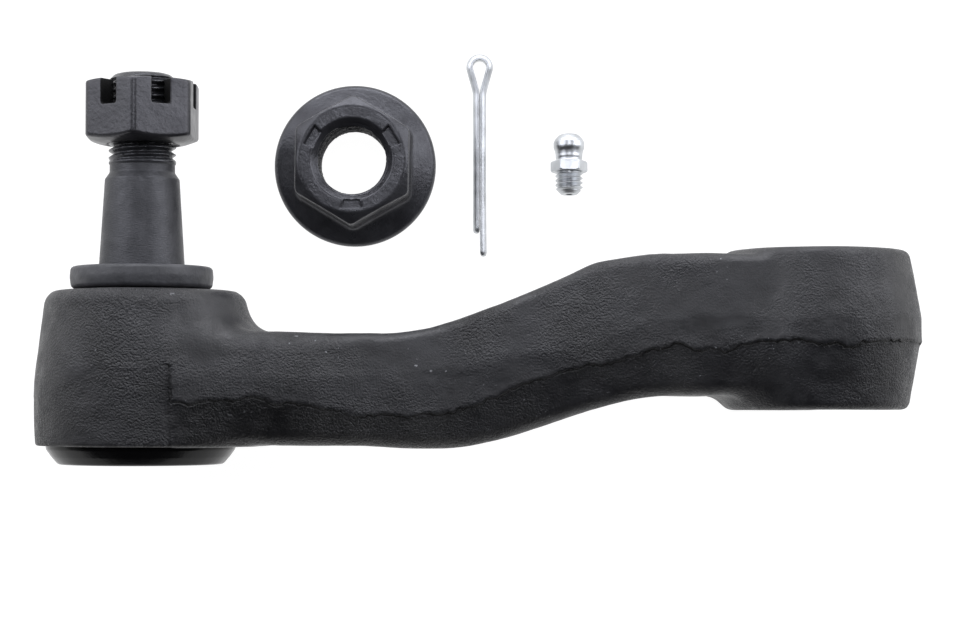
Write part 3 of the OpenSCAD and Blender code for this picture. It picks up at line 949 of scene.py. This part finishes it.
def forging_coat():
    """Satin black coat over forging scale, with patches of grain and a few bare specks.

    The trimmed band has upright marks, the parting shows as a crack painted near black as painted shade, and
    the lower flank is painted darker as painted shade.
    """
    s = Shader("forging_coat", (0.012, 0.012, 0.014), 0.5, Specular_IOR_Level=0.5)
    trimmed = s.attribute("trimmed")
    parting = s.attribute("from_parting")
    clear = s.attribute("parting_clear")
    wander = s.maths("MULTIPLY", s.maths("SUBTRACT", s.noise(0.0009, 3), 0.5), 0.8)
    # The parting crack: painted shade in its crease, near black, which also sets the roughness and a groove
    # bump.
    crack_and_shade = s.maths("ABSOLUTE", s.maths("ADD", s.maths("ADD", parting, 0.1), wander), 0)
    crack_and_shade = s.ramp(crack_and_shade, (0.08, 1.0), (0.32, 0.0))
    faint = s.ramp(s.noise(0.006, 3), (0.38, 0.3), (0.55, 1.0))
    crack_and_shade = s.maths("MULTIPLY", crack_and_shade, s.maths("MULTIPLY", faint, clear))

    mottle = s.ramp(s.noise(0.011, 5), (0.32, (0.006, 0.006, 0.0072)), (0.7, (0.014, 0.0143, 0.0168)))
    specks = s.ramp(s.noise(0.0009, 1), (0.735, 0.0), (0.77, 1.0))
    sparse = s.ramp(s.noise(0.014, 2), (0.5, 0.0), (0.62, 0.4))
    coated = s.mix(s.maths("MULTIPLY", specks, sparse), mottle, (0.4, 0.41, 0.43))
    # Painted shade: the lower flank is mixed towards black.
    flank_shade = s.attribute("lower_flank_shade")
    coated = s.mix(s.maths("MULTIPLY", flank_shade, 0.6), coated, (0.002, 0.002, 0.002))
    # Painted shade: the crack is mixed to near black.
    s.colour(s.mix(crack_and_shade, coated, (0.001, 0.001, 0.001)))
    patches = s.ramp(s.noise(0.019, 2), (0.4, 0.2), (0.66, 1.0))
    satin = s.ramp(s.noise(0.0035, 4), (0.3, 0.38), (0.7, 0.56))
    grain = s.noise(0.00042, 3)
    worn = s.ramp(grain, (0.34, 0.68), (0.66, 1.4))
    worn = s.mix(patches, (1, 1, 1), worn)
    smoother = s.maths("SUBTRACT", 1.0, s.maths("MULTIPLY", flank_shade, 0.2))
    coat_rough = s.maths("MULTIPLY", s.maths("MULTIPLY", satin, worn), smoother)
    s.rough(s.maths("MAXIMUM", coat_rough, crack_and_shade))

    grainy = s.maths("SUBTRACT", patches, s.maths("MULTIPLY", trimmed, 0.25))
    s.bump(s.maths("MULTIPLY", grain, grainy), 0.0005)
    s.bump(s.maths("MULTIPLY", s.noise(0.0022, 3), grainy), 0.00012)
    s.bump(s.noise(0.006, 2), 0.00035)
    upright = s.noise(0.0016, 4, (1, 0.16, 1), 0.3)
    s.bump(s.maths("MULTIPLY", upright, s.maths("MULTIPLY", trimmed, patches)), 0.0003)
    s.bump(s.maths("SUBTRACT", 1.0, crack_and_shade), 0.0004)
    return s.material


def lip_coat():
    """Glossy black coat on smooth rolled steel."""
    s = Shader("lip_coat", (0.004, 0.004, 0.0045), 0.2, Specular_IOR_Level=0.18)
    s.rough(s.ramp(s.noise(0.006, 4), (0.3, 0.15), (0.7, 0.26)))
    s.bump(s.noise(0.0025, 3), 0.00005)
    return s.material


def rubber():
    """Matt black moulded rubber with dust in its grain."""
    s = Shader("seal_rubber_black", (0.03, 0.031, 0.035), 0.55)
    s.colour(s.ramp(s.noise(0.004, 5), (0.35, (0.026, 0.027, 0.031)), (0.72, (0.055, 0.056, 0.062))))
    s.rough(s.ramp(s.noise(0.0025, 3), (0.3, 0.45), (0.7, 0.62)))
    s.bump(s.noise(0.0009, 3), 0.00008)
    return s.material


def turned_dark(name, dark, light, low, high, stretch=(1, 1, 1)):
    """A dark, blotched coat over steel. A stretch draws its finer marks out into turning lines."""
    s = Shader(name, dark, low, 0.55)
    s.colour(s.ramp(s.noise(0.0045, 5, distortion=0.4), (0.3, dark), (0.72, light)))
    s.rough(s.ramp(s.noise(0.003, 4), (0.3, low), (0.7, high)))
    s.bump(s.noise(0.0009, 2, stretch), 0.00006)
    s.bump(s.noise(0.0006, 3), 0.00003)
    return s


def castle_nut_coat():
    """Dark phosphate, with painted shade on the walls and floors of the slots, which are near black and
    rougher.
    """
    s = turned_dark("castle_nut_phosphate", (0.038, 0.038, 0.043), (0.055, 0.055, 0.061), 0.28, 0.38)
    slot_shade = s.attribute("slot_painted_shade")
    # Painted shade: the slots' walls and floors are mixed to near black.
    s.colour(s.mix(slot_shade, s.linked("Base Color"), (0.003, 0.003, 0.003)))
    s.rough(s.maths("MAXIMUM", s.linked("Roughness"), s.maths("MULTIPLY", slot_shade, 0.7)))
    return s.material


def flange_nut_coat():
    """Black oxide, with more contrast between its blotches than the castle nut's coat has."""
    return turned_dark("flange_nut_oxide", (0.035, 0.035, 0.04), (0.06, 0.061, 0.068), 0.26, 0.42).material


def stud_coat():
    """Dark phosphate with turning lines, rubbed smoother on the thread than on the taper."""
    s = turned_dark("stud_phosphate", (0.036, 0.037, 0.041), (0.06, 0.061, 0.067), 0.38, 0.52, (1, 6, 1))
    along = s.node("ShaderNodeSeparateXYZ", {"Vector": s.place}).outputs["Y"]
    thread_foot = (BALL[1] + 43.8) * MM
    limits = {"Value": along, "From Min": thread_foot, "From Max": thread_foot + 0.3 * MM}
    on_thread = s.node("ShaderNodeMapRange", limits).outputs["Result"]
    rubbed = s.maths("SUBTRACT", 1.0, s.maths("MULTIPLY", on_thread, 0.45))
    s.rough(s.maths("MULTIPLY", s.linked("Roughness"), rubbed))
    return s.material


def zinc(name, colour, low, high):
    """Bright zinc plate with faint smears."""
    s = Shader(name, colour, low, 1.0)
    darker = tuple(c * 0.72 for c in colour)
    s.colour(s.ramp(s.noise(0.003, 4), (0.3, darker), (0.65, colour)))
    s.rough(s.ramp(s.noise(0.0015, 4), (0.3, low), (0.7, high)))
    s.bump(s.noise(0.0007, 3), 0.00002)
    return s.material


def bearing_steel(name, colour, low, high):
    """Ground steel or sintered bronze with machining marks, inside the joint."""
    s = Shader(name, colour, low, 1.0)
    s.colour(s.ramp(s.noise(0.002, 4), (0.35, tuple(c * 0.75 for c in colour)), (0.65, colour)))
    s.rough(s.ramp(s.noise(0.001, 3), (0.3, low), (0.7, high)))
    s.bump(s.noise(0.0005, 2), 0.00003)
    return s.material


def floor_white():
    """A floor that glows almost white, so that it hardly takes a shadow."""
    s = Shader("studio_floor", (0.15, 0.15, 0.15), 0.9)
    s.base.inputs["Emission Color"].default_value = (1, 1, 1, 1)
    s.base.inputs["Emission Strength"].default_value = 0.99
    return s.material


# ---- studio ----


FLOOR_REACH = 4000
LIGHTS_AIM = (-0.07, 0.0, 0.0)
COOL_WHITE = (0.93, 0.94, 1.0)

# Each light's place and size in metres, and its power in watts.
LIGHTS = {
    "light_top": ((-0.07, 0.68, 0.34), (1.1, 0.32), 2.4),
    "light_back": ((-0.07, 0.85, 0.18), (1.2, 0.3), 6.0),
    "light_over": ((-0.05, 0.28, 0.92), (0.25, 0.25), 1.5),
    "light_left": ((-0.62, 0.28, 0.37), (0.5, 0.7), 3.2),
    "light_right": ((0.54, 0.28, 0.33), (0.5, 0.7), 3.9),
}

CAMERA_PLACE = (-0.06982, -0.01431, 0.49648)
CAMERA_TILT = math.radians(1.9)
CAMERA_LENS = 89.8
CAMERA_SENSOR = 36


def add_light(name, place, size, power):
    """A soft rectangular light, aimed at the middle of the arm."""
    lamp = bpy.data.lights.new(name, "AREA")
    lamp.shape = "RECTANGLE"
    lamp.size, lamp.size_y = size
    lamp.energy = power
    lamp.color = COOL_WHITE
    item = bpy.data.objects.new(name, lamp)
    item.location = place
    item.rotation_euler = (Vector(LIGHTS_AIM) - Vector(place)).to_track_quat("-Z", "Y").to_euler()
    bpy.context.scene.collection.objects.link(item)


def mapped(tree, value, from_min, from_max, to_min, to_max):
    """A value moved from one range to another."""
    made = tree.nodes.new("ShaderNodeMapRange")
    limits = {"From Min": from_min, "From Max": from_max, "To Min": to_min, "To Max": to_max}
    for name, limit in limits.items():
        made.inputs[name].default_value = limit
    tree.links.new(value, made.inputs["Value"])
    return made.outputs["Result"]


def make_world():
    """Surroundings that glow low down and on the stud's side, and are dark above and on the other side."""
    world = bpy.data.worlds.new("studio")
    world.use_nodes = True
    tree = world.node_tree
    split = tree.nodes.new("ShaderNodeSeparateXYZ")
    tree.links.new(tree.nodes.new("ShaderNodeTexCoord").outputs["Generated"], split.inputs["Vector"])
    low_down = mapped(tree, split.outputs["Z"], 0.12, 0.4, 0.5, 0.04)
    stud_side = mapped(tree, split.outputs["Y"], -0.8, 0.1, 0.04, 1.0)
    both = tree.nodes.new("ShaderNodeMath")
    both.operation = "MULTIPLY"
    tree.links.new(low_down, both.inputs[0])
    tree.links.new(stud_side, both.inputs[1])
    tree.links.new(both.outputs["Value"], tree.nodes["Background"].inputs["Color"])
    return world


def make_camera():
    """The camera overhead, tilted a little towards the stud's end."""
    camera = bpy.data.cameras.new("camera")
    camera.sensor_width = CAMERA_SENSOR
    camera.lens = CAMERA_LENS
    item = bpy.data.objects.new("camera", camera)
    item.location = CAMERA_PLACE
    item.rotation_euler = (CAMERA_TILT, 0, 0)
    bpy.context.scene.collection.objects.link(item)
    return item


def make_studio():
    """A pale floor, soft light mostly from the stud's end and above, and the camera."""
    scene = bpy.context.scene
    scene.view_settings.view_transform = "Standard"
    corners = [
        (-FLOOR_REACH, -FLOOR_REACH, TABLE), (FLOOR_REACH, -FLOOR_REACH, TABLE),
        (FLOOR_REACH, FLOOR_REACH, TABLE), (-FLOOR_REACH, FLOOR_REACH, TABLE),
    ]
    floor = object_from("floor", corners, [(0, 1, 2, 3)], Matrix.Identity(4))
    floor.data.materials.append(floor_white())
    scene.world = make_world()
    for name, (place, size, power) in LIGHTS.items():
        add_light(name, place, size, power)
    scene.camera = make_camera()


# ---- the build ----

make_studio()
make_forging(forging_coat())
PLATE_COAT = lip_coat()
make_lip(PLATE_COAT)
make_cover(PLATE_COAT)
make_seal(rubber())
make_stud(stud_coat())
make_castle_nut(castle_nut_coat())
make_flange_nut(flange_nut_coat())
make_fitting(zinc("fitting_zinc", (0.58, 0.6, 0.62), 0.3, 0.42))
make_pin(zinc("pin_zinc", (0.58, 0.6, 0.62), 0.36, 0.5))

# The CAD nodes inside the joint and the fitting, which keep their own meshes.
CARRIED_OVER = {
    "preload_spring": bearing_steel("spring_steel_oiled", (0.3, 0.3, 0.32), 0.3, 0.45),
    "lower_bearing_cup": bearing_steel("bearing_steel_ground", (0.5, 0.49, 0.47), 0.2, 0.35),
    "upper_bearing_race": bearing_steel("race_steel_ground", (0.5, 0.49, 0.47), 0.22, 0.36),
    "half_ball_bearing": bearing_steel("bronze_sintered", (0.5, 0.36, 0.2), 0.35, 0.5),
    "check_ball": bearing_steel("ball_polished", (0.8, 0.8, 0.82), 0.06, 0.14),
    "check_spring": bearing_steel("check_spring_steel", (0.5, 0.5, 0.52), 0.25, 0.4),
}
for node, material in CARRIED_OVER.items():
    carried = frame["nodes"][node]
    carried.data.materials.clear()
    carried.data.materials.append(material)
